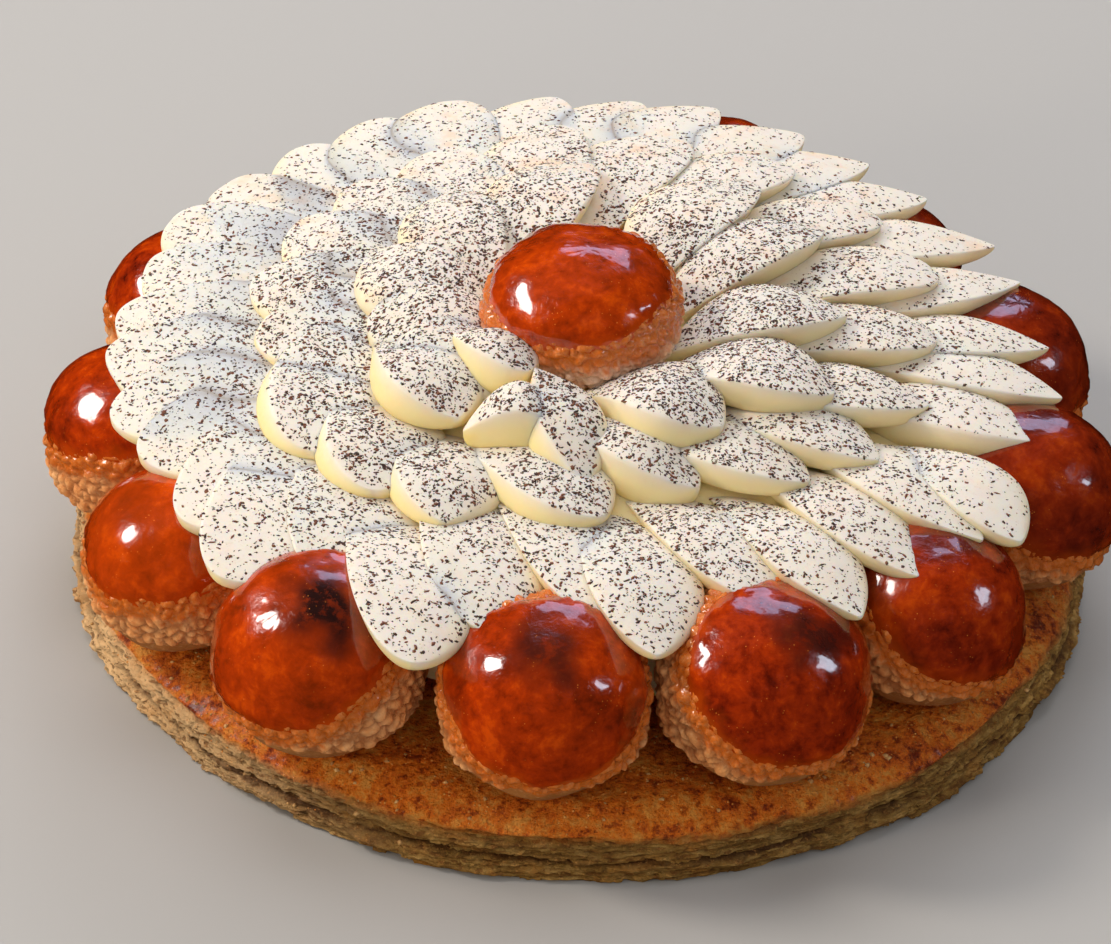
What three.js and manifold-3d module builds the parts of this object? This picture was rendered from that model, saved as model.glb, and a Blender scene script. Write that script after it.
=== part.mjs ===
// Saint-honore cake: a flaky pastry disc, a ring of caramel-dipped choux puffs, and piped cream petals
// in three rings round one puff at the middle. Millimetres, +Z up, origin under the middle of the disc.
import * as THREE from "three";
import Module from "manifold-3d";
import { mergeVertices } from "three/addons/utils/BufferGeometryUtils.js";

const wasm = await Module();
wasm.setup();

// Driving dimensions. Angles are in degrees, counter-clockwise from +X.
const gap = 0.3; // between neighbouring pieces
const disc = {
  radius: 120.5,
  height: 15,
  rimHeight: 10, // the top falls away to this at the rim
  slope: 11, // how far in from the rim the top starts to fall
  facets: 32,
  leaves: 3, // baked layers that show at the rim
  setback: 1.2, // how far the outer leaves lie behind the middle one
  furrow: 1.6, // depth of the furrow between two leaves
  unevenness: 2, // how far the rim strays from a circle
};

const puff = {
  ringRadius: 103,
  firstAngle: 266, // the puff nearest the front
  halfWidth: 24,
  halfHeight: 22,
  foot: 0.88, // how far below its middle a puff is flat, as a share of its half height
  squareness: 2.3, // 2 is an ellipsoid, more gives a flatter crown and rounder shoulders
  rimAngle: 98, // from the pole of the caramel down to its rim
  rimStep: 0.7, // how far the bare choux lies behind the caramel
  lumps: 5, // round the bare choux
  lumpDepth: 0.5,
  facetsAround: 12,
  facetsDown: 6,
};
// For each puff of the ring: its turn from an even spacing, how far out it sits, its size,
// and how far its caramel cap leans outwards.
const ringPuffs = [
  { turn: 0, out: -4, size: 0.99, lean: 38 },
  { turn: 0.5, out: -1, size: 0.99, lean: 36 },
  { turn: -0.6, out: 0, size: 0.93, lean: 30 },
  { turn: -0.6, out: 3, size: 0.96, lean: 22 },
  { turn: -1.3, out: 1, size: 0.96, lean: 12 },
  { turn: -0.9, out: -3, size: 0.92, lean: 10 },
  { turn: -0.2, out: 1, size: 0.98, lean: 10 },
  { turn: -1, out: 0, size: 0.96, lean: 8 },
  { turn: -2.7, out: 0, size: 0.94, lean: 8 },
  { turn: -1.5, out: 1, size: 0.95, lean: 10 },
  { turn: -0.4, out: 0, size: 0.97, lean: 12 },
  { turn: -1.2, out: 1, size: 0.93, lean: 14 },
  { turn: -1.7, out: 0.5, size: 1.02, lean: 30 },
];
const topPuff = { halfWidth: 23.2, halfHeight: 16.5, foot: 0.9, lean: 4, middle: 70 };

// The cream under the petals: its wall, and its top as radius and height from the edge inwards.
const bed = {
  foot: 84,
  top: [[91, 49.5], [84, 54.5], [70, 59], [48, 63], [26, 65]],
  facets: 20,
};
// Rings of petals, from the rim inwards. Reach is how far out their tips lie, and lean is how far a tip
// turns counter-clockwise; both swing round the cake, most at their own angle. Length is a share of reach.
const petalRings = [
  {
    count: 32, firstAngle: 275.3, lengthShare: 0.44, halfWidth: 13.3, crest: 4, depth: 6.5,
    reach: { mean: 109.5, swing: 3.5, most: 95 }, lean: { mean: 4, swing: 24, most: 240 },
    tailHeight: 57, tipHeight: { mean: 54.5, swing: 2.5, most: 115 }, arch: 4.5,
  },
  {
    count: 20, firstAngle: 275, lengthShare: 0.52, halfWidth: 13.5, crest: 4.4, depth: 7.5,
    reach: { mean: 81, swing: 12, most: 70 }, lean: { mean: 18, swing: 26, most: 250 },
    tailHeight: 61, tipHeight: { mean: 60, swing: 1, most: 115 }, arch: 4.5,
  },
  {
    count: 12, firstAngle: 272, lengthShare: 0.68, halfWidth: 13.5, crest: 4.6, depth: 9,
    reach: { mean: 58, swing: 12, most: 60 }, lean: { mean: 7, swing: 24, most: 290 },
    tailHeight: 62, tipHeight: { mean: 66, swing: 0.5, most: 330 }, arch: 5,
  },
];
// One more petal of the inner ring, laid beside the top puff where the piping ends.
const closingPetal = { angle: 233, reach: 47, lean: 71, length: 37, tipHeight: 66 };
const petal = {
  fullestAt: 1.35, // above 1 moves the widest place towards the tip
  tipRoundness: 0.62, // 0.5 is a round tip, 1 a pointed one
  tilt: 13, // degrees that the sharp edge is lifted
  undercut: 0.58, // where the wall under the sharp edge ends, as a share of the half width
  smoothSide: 1.15, // how much wider the rounded side is than the sharp one
  bellyFullness: 0.8, // under 1 keeps the underside deep towards the tip
  sectionPoints: 5,
  stations: 5,
};
// How much one petal differs from the next: angle, reach and tilt as such, length and width as shares.
const variety = { angle: 1.6, reach: 2.5, tilt: 3, length: 0.07, width: 0.08 };

const up = new THREE.Vector3(0, 0, 1);
const radians = THREE.MathUtils.degToRad;

// A repeatable unevenness between -1 and 1 for the i-th piece.
function uneven(i, kind) {
  return Math.sin(2.399 * i + 1.7 * kind) * Math.cos(1.13 * i * kind + 0.4);
}

// What swings round the cake, at an angle.
function at({ mean, swing, most }, angle) {
  return mean + swing * Math.cos(radians(angle - most));
}

function material(color, roughness) {
  return new THREE.MeshStandardMaterial({ color, roughness, metalness: 0 });
}

const finishes = {
  pastry: material(0xa96a35, 0.8),
  caramel: material(0x8c3410, 0.2),
  cream: material(0xf1e6cf, 0.55),
};

function mesh(name, geometry, finish) {
  const made = new THREE.Mesh(geometry, finish);
  made.name = name;
  return made;
}

// A closed geometry as a solid that can be joined and cut.
function solidOf(geometry) {
  const bare = geometry.clone();
  bare.deleteAttribute("normal");
  bare.deleteAttribute("uv");
  const merged = mergeVertices(bare);
  return new wasm.Manifold(new wasm.Mesh({
    numProp: 3,
    vertProperties: merged.attributes.position.array,
    triVerts: new Uint32Array(merged.index.array),
  }));
}

function geometryOf(solid) {
  const made = solid.getMesh();
  const geometry = new THREE.BufferGeometry();
  geometry.setAttribute("position", new THREE.BufferAttribute(made.vertProperties, 3));
  geometry.setIndex(new THREE.BufferAttribute(made.triVerts, 1));
  geometry.computeVertexNormals();
  return geometry;
}

// Moves every vertex of a geometry by a function of its place.
function reshape(geometry, place) {
  const position = geometry.attributes.position;
  const vertex = new THREE.Vector3();
  for (let i = 0; i < position.count; i++) {
    vertex.fromBufferAttribute(position, i);
    place(vertex);
    position.setXYZ(i, vertex.x, vertex.y, vertex.z);
  }
  return geometry;
}

// A body turned round the vertical axis from radii and heights, closed on the axis at both ends.
function turned(profile, facets) {
  const points = profile.map(([radius, height]) => new THREE.Vector2(radius, height));
  return new THREE.LatheGeometry(points, facets).rotateX(Math.PI / 2);
}

// The disc: baked leaves of pastry that bulge at the rim, with a furrow between each two.
function pastryDisc() {
  const leafHeight = disc.rimHeight / disc.leaves;
  const leafProfiles = Array.from({ length: disc.leaves }, (_, leaf) => {
    const low = leaf * leafHeight;
    const rim = disc.radius - (leaf % 2 ? 0 : disc.setback);
    return [[rim - disc.furrow, low], [rim, low + 0.35 * leafHeight], [rim - 0.4, low + 0.8 * leafHeight]];
  });
  const shoulder = [[disc.radius - 2.5, disc.rimHeight + 0.6], [disc.radius - 0.55 * disc.slope, 0.5 * (disc.rimHeight + disc.height) + 0.6]];
  const profile = [[0, 0], ...leafProfiles.flat(), ...shoulder, [disc.radius - disc.slope, disc.height], [0, disc.height]];
  return reshape(turned(profile, disc.facets), (v) => {
    const turn = Math.atan2(v.y, v.x);
    const share = Math.hypot(v.x, v.y) / disc.radius;
    const wave = Math.sin(2 * turn + 3.5) + 0.3 * Math.sin(7 * turn + v.z) + 0.2 * Math.sin(13 * turn);
    const scale = 1 + (share * share * disc.unevenness * wave) / disc.radius;
    v.x *= scale;
    v.y *= scale;
  });
}

// A puff round its own middle: caramel down to a leaning rim, bare lumpy choux below it, and a flat foot.
function puffGeometry(halfWidth, halfHeight, foot, lean, seed) {
  const sphere = new THREE.SphereGeometry(1, puff.facetsAround, puff.facetsDown).rotateX(Math.PI / 2);
  const across = new THREE.Vector3(0, 1, 0);
  const power = puff.squareness;
  return reshape(sphere, (v) => {
    const fromPole = Math.acos(THREE.MathUtils.clamp(v.z, -1, 1));
    v.applyAxisAngle(across, radians(lean));
    const flat = Math.hypot(v.x, v.y) / halfWidth;
    const reach = (flat ** power + Math.abs(v.z / halfHeight) ** power) ** (-1 / power);
    const bare = fromPole > radians(puff.rimAngle);
    const lumps = puff.lumpDepth * Math.sin(puff.lumps * Math.atan2(v.y, v.x) + seed);
    v.multiplyScalar(reach + (bare ? lumps - puff.rimStep : 0));
    v.z = Math.max(v.z, -foot * halfHeight);
  });
}

// One puff of the ring: its shape, and where its middle stands.
function ringPuff({ turn, out, size, lean }, i) {
  const angle = radians(puff.firstAngle + turn + (360 / ringPuffs.length) * i);
  const halfHeight = puff.halfHeight * size;
  const middle = new THREE.Vector3(puff.ringRadius + out, 0, disc.height + gap + puff.foot * halfHeight);
  const made = mesh(
    `puff_${String(i + 1).padStart(2, "0")}`,
    puffGeometry(puff.halfWidth * size, halfHeight, puff.foot, lean, i),
    finishes.caramel,
  );
  made.rotation.z = angle;
  made.position.copy(middle.applyAxisAngle(up, angle));
  return made;
}

function topPuffMesh() {
  const { halfWidth, halfHeight, foot, lean, middle } = topPuff;
  const geometry = puffGeometry(halfWidth, halfHeight, foot, lean, ringPuffs.length);
  const made = mesh("puff_top", geometry, finishes.caramel);
  made.position.z = middle;
  return made;
}

// A puff grown by a little more than the gap, in its place, for cutting the cream.
function socketOf(made) {
  made.geometry.computeBoundingBox();
  const grown = 1 + (2 * gap) / made.geometry.boundingBox.max.z;
  made.updateMatrix();
  return solidOf(made.geometry.clone().scale(grown, grown, grown).applyMatrix4(made.matrix));
}

// One petal along +X from its tail at the origin: a sharp edge on its -Y side with a clean undercut wall,
// a domed face, and a rounded side that goes under the next petal.
function petalGeometry(ring, length, tipHeight, i) {
  const halfWidth = ring.halfWidth * (1 + variety.width * uneven(i, 2));
  const tilt = Math.tan(radians(petal.tilt + variety.tilt * uneven(i, 3)));
  const blank = new THREE.SphereGeometry(1, petal.sectionPoints, petal.stations).rotateZ(-Math.PI / 2);
  return reshape(blank, (v) => {
    const along = (1 + v.x) / 2;
    const around = Math.atan2(v.z, -v.y); // 0 at the sharp edge, a quarter turn at the crest
    const tapered = Math.max(Math.sin(Math.PI * along ** petal.fullestAt), 0) ** petal.tipRoundness;
    const fullness = Math.abs(v.x) > 0.9999 ? 0 : tapered; // exactly closed at both ends
    const rise = Math.sin(around);
    const rounded = Math.cos(around) < 0;
    const spread = rounded ? petal.smoothSide : rise < -0.01 ? petal.undercut : 1;
    const side = spread * halfWidth * fullness * Math.cos(around);
    const face = ring.crest * rise * fullness;
    const belly = ring.depth * rise * fullness ** petal.bellyFullness;
    const spine = ring.arch * Math.sin(Math.PI * along) + (tipHeight - ring.tailHeight) * along;
    v.set(along * length, -side, spine + (rise > 0 ? face : belly) + side * tilt);
  });
}

// Turns a petal and sets it with its tip at an angle and reach from the middle of the cake.
function placedPetal(ring, { angle, reach, lean, length, tipHeight }, i) {
  const tip = new THREE.Vector3(reach, 0, 0).applyAxisAngle(up, radians(angle));
  const direction = radians(angle + lean);
  return petalGeometry(ring, length, tipHeight, i)
    .rotateZ(direction)
    .translate(tip.x - length * Math.cos(direction), tip.y - length * Math.sin(direction), ring.tailHeight);
}

function ringPetal(ring, i) {
  const angle = ring.firstAngle + (360 / ring.count) * i + variety.angle * uneven(i, 4);
  const reach = at(ring.reach, angle) + variety.reach * uneven(i, 5);
  const length = ring.lengthShare * reach * (1 + variety.length * uneven(i, 1));
  const placed = { angle, reach, lean: at(ring.lean, angle), length, tipHeight: at(ring.tipHeight, angle) };
  return placedPetal(ring, placed, i);
}

// The cream: a low mound inside the ring of puffs with every petal on it, cut where the puffs sit.
function creamGeometry(puffs) {
  const floor = disc.height + gap;
  const crestHeight = bed.top.at(-1)[1];
  const mound = turned([[0, floor], [bed.foot, floor], ...bed.top, [0, crestHeight]], bed.facets);
  const petals = petalRings.flatMap((ring) =>
    Array.from({ length: ring.count }, (_, i) => ringPetal(ring, i)),
  );
  petals.push(placedPetal(petalRings.at(-1), closingPetal, 0));
  const piped = wasm.Manifold.union([mound, ...petals].map(solidOf));
  const cut = piped.subtract(wasm.Manifold.union(puffs.map(socketOf)));
  const [largest] = cut.decompose().sort((a, b) => b.volume() - a.volume());
  return geometryOf(largest);
}

const cake = new THREE.Group();
const puffs = [...ringPuffs.map(ringPuff), topPuffMesh()];
cake.add(
  mesh("pastry_disc", pastryDisc(), finishes.pastry),
  mesh("cream", creamGeometry(puffs), finishes.cream),
  ...puffs,
);

export default cake;
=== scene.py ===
# Dresses the saint-honore cake: flaky base, choux puffs under caramel, piped cream petals and cocoa flecks.
import bpy
import bmesh
import math
import random
import numpy as np
from mathutils import Matrix, Vector, noise
from mathutils.bvhtree import BVHTree


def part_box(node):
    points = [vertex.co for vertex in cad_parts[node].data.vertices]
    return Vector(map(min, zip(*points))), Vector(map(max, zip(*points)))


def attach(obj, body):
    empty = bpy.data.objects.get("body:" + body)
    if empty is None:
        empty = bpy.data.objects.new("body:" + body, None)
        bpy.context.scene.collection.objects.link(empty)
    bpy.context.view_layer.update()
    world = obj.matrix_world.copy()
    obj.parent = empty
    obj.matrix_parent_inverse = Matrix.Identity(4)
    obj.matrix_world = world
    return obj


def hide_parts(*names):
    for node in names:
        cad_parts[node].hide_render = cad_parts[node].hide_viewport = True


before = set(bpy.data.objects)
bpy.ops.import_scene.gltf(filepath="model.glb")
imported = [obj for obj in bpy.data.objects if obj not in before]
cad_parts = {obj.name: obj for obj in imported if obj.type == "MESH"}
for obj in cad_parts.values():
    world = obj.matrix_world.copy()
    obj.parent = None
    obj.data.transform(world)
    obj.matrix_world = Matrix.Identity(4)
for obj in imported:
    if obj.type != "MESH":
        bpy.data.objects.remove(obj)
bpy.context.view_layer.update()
mm = 0.001
noise.seed_set(9)   # or noise_vector starts from the clock


# ---- shader helpers

class Wire:
    # a node's output that can be used in sums
    def __init__(self, finish, socket):
        self.finish = finish
        self.socket = socket

    def sum(self, operation, first, second):
        return self.finish.add("ShaderNodeMath", {"operation": operation}, {0: first, 1: second})

    def __add__(self, other):
        return self.sum("ADD", self, other)

    def __radd__(self, other):
        return self.sum("ADD", other, self)

    def __sub__(self, other):
        return self.sum("SUBTRACT", self, other)

    def __rsub__(self, other):
        return self.sum("SUBTRACT", other, self)

    def __mul__(self, other):
        return self.sum("MULTIPLY", self, other)

    def __rmul__(self, other):
        return self.sum("MULTIPLY", other, self)


class Finish:
    # a material whose nodes are added one call at a time
    def __init__(self, name, **constants):
        self.material = bpy.data.materials.new(name)
        self.material.use_nodes = True
        self.tree = self.material.node_tree
        self.shader = self.tree.nodes["Principled BSDF"]
        for socket, value in constants.items():
            self.shader.inputs[socket.replace("_", " ")].default_value = value
        self.place = self.add("ShaderNodeTexCoord", output="Object")

    def add(self, kind, settings=None, inputs=None, output=0):
        node = self.tree.nodes.new(kind)
        for name, value in (settings or {}).items():
            if name == "stops":
                self.setStops(node.color_ramp, value)
            else:
                setattr(node, name, value)
        for name, value in (inputs or {}).items():
            self.plug(node.inputs[name], value)
        return Wire(self, node.outputs[output])

    def plug(self, socket, value):
        if isinstance(value, Wire):
            self.tree.links.new(value.socket, socket)
        else:
            socket.default_value = value

    def setStops(self, ramp, stops):
        while len(ramp.elements) < len(stops):
            ramp.elements.new(0.5)
        for element, (position, colour) in zip(ramp.elements, stops):
            element.position = position
            element.color = (*colour, 1) if isinstance(colour, tuple) else (colour, colour, colour, 1)

    def drive(self, **sockets):
        for name, value in sockets.items():
            self.plug(self.shader.inputs[name.replace("_", " ")], value)

    # textures measured by the size of their features
    def noise(self, size, detail=4, roughness=0.55, distortion=0, vector=None):
        return self.add("ShaderNodeTexNoise", None, {
            "Vector": vector or self.place, "Scale": 1 / size, "Detail": detail,
            "Roughness": roughness, "Distortion": distortion})

    def cells(self, size, feature="F1", vector=None):
        return self.add("ShaderNodeTexVoronoi", {"feature": feature}, {
            "Vector": vector or self.place, "Scale": 1 / size}, "Distance")

    def warped(self, amount, size):
        # the place pushed about by noise
        push = self.add("ShaderNodeTexNoise", None, {"Vector": self.place, "Scale": 1 / size}, "Color")
        centred = self.add("ShaderNodeVectorMath", {"operation": "SUBTRACT"}, {0: push, 1: (0.5, 0.5, 0.5)})
        scaled = self.add("ShaderNodeVectorMath", {"operation": "SCALE"}, {0: centred, "Scale": amount})
        return self.add("ShaderNodeVectorMath", {"operation": "ADD"}, {0: self.place, 1: scaled})

    def ramp(self, value, stops):
        return self.add("ShaderNodeValToRGB", {"stops": stops}, {"Fac": value})

    def between(self, value, low, high, start=0.0, end=1.0):
        return self.add("ShaderNodeMapRange", {"interpolation_type": "SMOOTHSTEP"}, {
            "Value": value, "From Min": low, "From Max": high, "To Min": start, "To Max": end})

    def mix(self, share, first, second):
        return self.add("ShaderNodeMix", {"data_type": "RGBA"}, {
            0: share, 6: self.rgba(first), 7: self.rgba(second)}, 2)

    def rgba(self, colour):
        return (*colour, 1) if isinstance(colour, tuple) else colour

    def bump(self, height, distance, strength=1.0, under=None):
        inputs = {"Height": height, "Distance": distance, "Strength": strength}
        if under:
            inputs["Normal"] = under
        return self.add("ShaderNodeBump", None, inputs)

    def attribute(self, name):
        return self.add("ShaderNodeAttribute", {"attribute_name": name}, None, "Fac")

    def axis(self, number):
        # how far the point lies along x, y or z
        return self.add("ShaderNodeSeparateXYZ", None, {0: self.place}, number)

    def facingUp(self):
        normal = self.add("ShaderNodeNewGeometry", output="Normal")
        return self.add("ShaderNodeSeparateXYZ", None, {0: normal}, 2)


# ---- shared helpers

def uneven(i, kind):
    # a repeatable unevenness between -1 and 1 for the i-th piece
    return math.sin(2.399 * i + 1.7 * kind) * math.cos(1.13 * i * kind + 0.4)


def swingAt(value, angle):
    # a value that swings round the cake: its mean, how far it swings and the turn where it is most
    if not isinstance(value, tuple):
        return value
    mean, swing, most = value
    return mean + swing * math.cos(math.radians(angle - most))


def smooth(low, high, value):
    t = min(max((value - low) / (high - low), 0), 1)
    return t * t * (3 - 2 * t)


def turned(profile, steps):
    # a closed body spun from places out from the axis and up
    bm = bmesh.new()
    line = [bm.verts.new((out, 0, z)) for out, z in profile]
    edges = [bm.edges.new(pair) for pair in zip(line, line[1:])]
    bmesh.ops.spin(bm, geom=line + edges, cent=(0, 0, 0), axis=(0, 0, 1), angle=2 * math.pi,
                   steps=steps, use_merge=True)
    bmesh.ops.remove_doubles(bm, verts=bm.verts, dist=1e-6)
    return bm


def finishPiece(name, bm, finish, replaced=(), levels=0):
    mesh = bpy.data.meshes.new(name)
    bm.to_mesh(mesh)
    bm.free()
    return placePiece(name, mesh, finish, replaced, levels)


def placePiece(name, mesh, finish, replaced=(), levels=0):
    mesh.shade_smooth()
    mesh.materials.append(finish.material)
    piece = bpy.data.objects.new(name, mesh)
    bpy.context.scene.collection.objects.link(piece)
    if levels:
        subdivision = piece.modifiers.new("smooth", "SUBSURF")
        subdivision.levels = levels
        subdivision.render_levels = levels
    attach(piece, "root")
    if replaced:
        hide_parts(*replaced)
    return piece


# ---- finishes

def creamFinish():
    finish = Finish("whippedCream", Subsurface_Weight=0.55, Subsurface_Radius=(1.0, 0.66, 0.36),
                    Subsurface_Scale=0.0028, Specular_IOR_Level=0.12, IOR=1.42)
    wall = finish.attribute("wall")
    crease = finish.attribute("crease")
    patches = finish.noise(0.02, 3)
    face = finish.mix(finish.between(patches, 0.4, 0.7), (0.86, 0.81, 0.745), (0.85, 0.79, 0.71))
    # yellower walls: painted warm bounce light
    colour = finish.mix(wall, face, (0.96, 0.85, 0.60))
    # painted warm shade in creases, near the tails and low on the walls
    colour = finish.mix(crease, colour, (1.0, 0.77, 0.31))
    stain = finish.between(finish.noise(0.009, 5, 0.65), 0.5, 0.7, 0, 0.5)
    farSide = finish.between(finish.axis(1), -0.02, 0.06, 0.35, 1)
    colour = finish.mix(stain * farSide * (1 - wall), colour, (0.86, 0.56, 0.36))
    dust = finish.between(finish.cells(0.0011), 0.2, 0.06)
    sparse = finish.between(finish.noise(0.006, 3), 0.48, 0.6)
    up = finish.between(finish.facingUp(), 0.6, 0.85)
    colour = finish.mix(dust * sparse * up * 0.5, colour, (0.30, 0.16, 0.09))
    powder = finish.between(finish.noise(0.0016, 4, 0.7), 0.55, 0.72, 0, 0.2)
    colour = finish.mix(powder * up, colour, (0.62, 0.42, 0.28))
    grain = finish.noise(0.0009, 3)
    swell = finish.noise(0.006, 3)
    normal = finish.bump(swell, 0.0006, 0.35, finish.bump(grain, 0.0001, 0.35))
    finish.drive(Base_Color=colour, Roughness=finish.between(patches, 0.3, 0.7, 0.42, 0.58), Normal=normal)
    return finish


def caramelFinish():
    finish = Finish("caramel", Coat_Roughness=0.06, Coat_IOR=1.5, IOR=1.45, Specular_IOR_Level=0.3)
    warped = finish.warped(0.004, 0.008)
    clouds = finish.noise(0.011, 4, 0.55, 0, warped)
    mottle = finish.noise(0.0028, 6, 0.68, 0, warped)
    tone = 0.52 * clouds + 0.48 * mottle
    colour = finish.ramp(tone, [(0.35, (0.10, 0.006, 0.001)), (0.44, (0.25, 0.016, 0.001)),
                                (0.54, (0.44, 0.033, 0.001)), (0.65, (0.70, 0.078, 0.001))])
    thin = finish.attribute("thin")
    # lighter thin caramel by the rim, and painted light over whole caps
    colour = finish.mix(thin * 0.7, colour, (0.64, 0.082, 0.002))
    # scorched spots, and painted shade over whole caps
    scorch = finish.attribute("scorch") * finish.between(mottle, 0.3, 0.55, 0.55, 1)
    colour = finish.mix(scorch, colour, (0.022, 0.007, 0.006))
    # bright specks: sugar crystals, with painted glints
    crystalsAndGlints = finish.between(finish.cells(0.0011), 0.17, 0.05)
    crystalsAndGlints = crystalsAndGlints * finish.between(finish.noise(0.007, 3), 0.5, 0.64)
    colour = finish.mix(crystalsAndGlints * 0.6, colour, (1.0, 0.34, 0.05))
    bubbles = finish.noise(0.0009, 3, 0.55)
    ripples = finish.noise(0.0045, 2)
    normal = finish.bump(bubbles, 0.0001, 1.0, finish.bump(ripples, 0.0002, 0.5))
    finish.drive(Base_Color=colour, Roughness=0.1 + 0.12 * mottle, Normal=normal,
                 Coat_Weight=finish.between(clouds, 0.2, 0.8, 1.0, 0.8))
    return finish


def chouxFinish():
    finish = Finish("bakedChoux", Specular_IOR_Level=0.3, Coat_Roughness=0.12)
    crumb = finish.attribute("crumb")
    crack = finish.attribute("crack")
    wet = finish.attribute("wet")
    shade = finish.noise(0.006, 5)
    crust = finish.ramp(shade, [(0.3, (0.66, 0.235, 0.065)), (0.5, (0.88, 0.38, 0.125)),
                                (0.72, (0.97, 0.54, 0.24))])
    bare = finish.ramp(shade, [(0.3, (0.30, 0.10, 0.02)), (0.7, (0.52, 0.21, 0.05))])
    colour = finish.mix(crumb, bare, crust)
    # painted shade between the crumbs
    colour = finish.mix(crack * 0.6, colour, (0.26, 0.06, 0.012))
    fine = finish.noise(0.0011, 5, 0.7)
    grains = finish.between(finish.cells(0.0017, "DISTANCE_TO_EDGE", finish.warped(0.0012, 0.002)), 0.0, 0.22)
    colour = finish.mix(finish.between(fine, 0.5, 0.75, 0, 0.4), colour, (0.92, 0.60, 0.30))
    # painted shade in the fine cracks of the crust
    colour = finish.mix((1 - grains) * crumb * (0.08 - 0.05 * wet), colour, (0.30, 0.08, 0.015))
    colour = finish.mix(wet * finish.between(fine, 0.35, 0.7, 0.97, 0.6), colour, (0.70, 0.15, 0.009))
    pale = finish.attribute("pale") * finish.between(shade, 0.35, 0.55, 0.5, 1)
    colour = finish.mix(pale, colour, (0.93, 0.70, 0.52))
    normal = finish.bump(grains, 0.0001, crumb, finish.bump(fine, 0.00032, 0.6))
    finish.drive(Base_Color=colour, Roughness=finish.between(shade, 0.2, 0.8, 0.85, 0.6) - 0.45 * wet,
                 Normal=normal, Coat_Weight=wet * 0.9)
    return finish


def pastryFinish():
    finish = Finish("puffPastry", Specular_IOR_Level=0.22, Coat_Roughness=0.2)
    top = finish.attribute("top")
    groove = finish.attribute("groove")
    layered = finish.add("ShaderNodeMapping", None, {"Vector": finish.place, "Scale": (1, 1, 4)})
    blotch = finish.noise(0.012, 6, 0.6, 0.4)
    leaf = finish.noise(0.005, 6, 0.62, 0, layered)
    side = finish.ramp(leaf, [(0.32, (0.21, 0.085, 0.015)), (0.5, (0.43, 0.23, 0.05)),
                              (0.66, (0.76, 0.46, 0.14))])
    # painted light on the left side
    side = finish.mix(finish.between(finish.axis(0), -0.03, -0.1, 0, 0.95), side, (1.0, 0.66, 0.34))
    # painted shade on the front of the side
    side = finish.mix(finish.between(finish.axis(1), -0.05, -0.11, 0, 0.35), side, (0.15, 0.075, 0.02))
    side = finish.mix(finish.between(blotch, 0.5, 0.68, 0, 0.6), side, (0.58, 0.24, 0.045))
    thread = finish.noise(0.0026, 4, 0.6, 0, layered)
    side = finish.mix(finish.between(thread, 0.47, 0.36, 0, 0.75), side, (0.20, 0.075, 0.015))
    # painted shade in the furrow, cracks and hollows
    side = finish.mix(groove * 0.92, side, (0.085, 0.03, 0.008))
    speck = finish.noise(0.0024, 5, 0.68)
    tone = 0.55 * blotch + 0.45 * speck
    baked = finish.ramp(tone, [(0.385, (0.25, 0.028, 0.003)), (0.455, (0.80, 0.155, 0.01)),
                               (0.515, (1.0, 0.26, 0.02)), (0.585, (1.0, 0.41, 0.07))])
    colour = finish.mix(top, side, baked)
    grain = finish.noise(0.0009, 5, 0.7)
    # paler sugar grains, with painted glints
    colour = finish.mix(finish.between(grain, 0.54, 0.68, 0, 0.3), colour, (1.0, 0.46, 0.13))
    colour = finish.mix(top * finish.between(speck, 0.46, 0.36, 0, 0.6), colour, (0.30, 0.04, 0.004))
    fineLeaves = finish.noise(0.0018, 5, 0.65, 0, layered)
    granules = finish.noise(0.0022, 4, 0.7)
    rough = finish.noise(0.001, 4, 0.7)
    normal = finish.bump(rough, 0.0009, 0.8, finish.bump(fineLeaves, 0.0018, 0.7))
    normal = finish.bump(granules, 0.0034, 0.85 * top, normal)
    gloss = finish.between(speck, 0.45, 0.6, 0.7, 0.5)
    finish.drive(Base_Color=colour, Roughness=0.78 - top * (0.78 - gloss), Normal=normal,
                 Coat_Weight=top * finish.between(tone, 0.55, 0.4, 0.0, 0.14))
    return finish


def flatFinish(name, dark, light, roughness, size):
    finish = Finish(name)
    tone = finish.noise(size, 4)
    colour = finish.mix(finish.between(tone, 0.3, 0.7), dark, light)
    finish.drive(Base_Color=colour, Roughness=roughness + 0.1 * tone, Normal=finish.bump(tone, size / 4, 0.6))
    return finish


cream = creamFinish()
caramel = caramelFinish()
choux = chouxFinish()
pastry = pastryFinish()
darkCocoa = flatFinish("darkCocoa", (0.028, 0.013, 0.009), (0.10, 0.045, 0.026), 0.55, 0.0004)
redCocoa = flatFinish("redCocoa", (0.11, 0.03, 0.014), (0.28, 0.10, 0.045), 0.55, 0.0004)
bakedCrumb = flatFinish("bakedCrumb", (0.40, 0.17, 0.04), (0.85, 0.52, 0.20), 0.7, 0.0012)
sugar = flatFinish("bakedSugar", (0.62, 0.17, 0.02), (0.95, 0.46, 0.12), 0.2, 0.0012)
print("finishes made")


# ---- pastry disc

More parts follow.
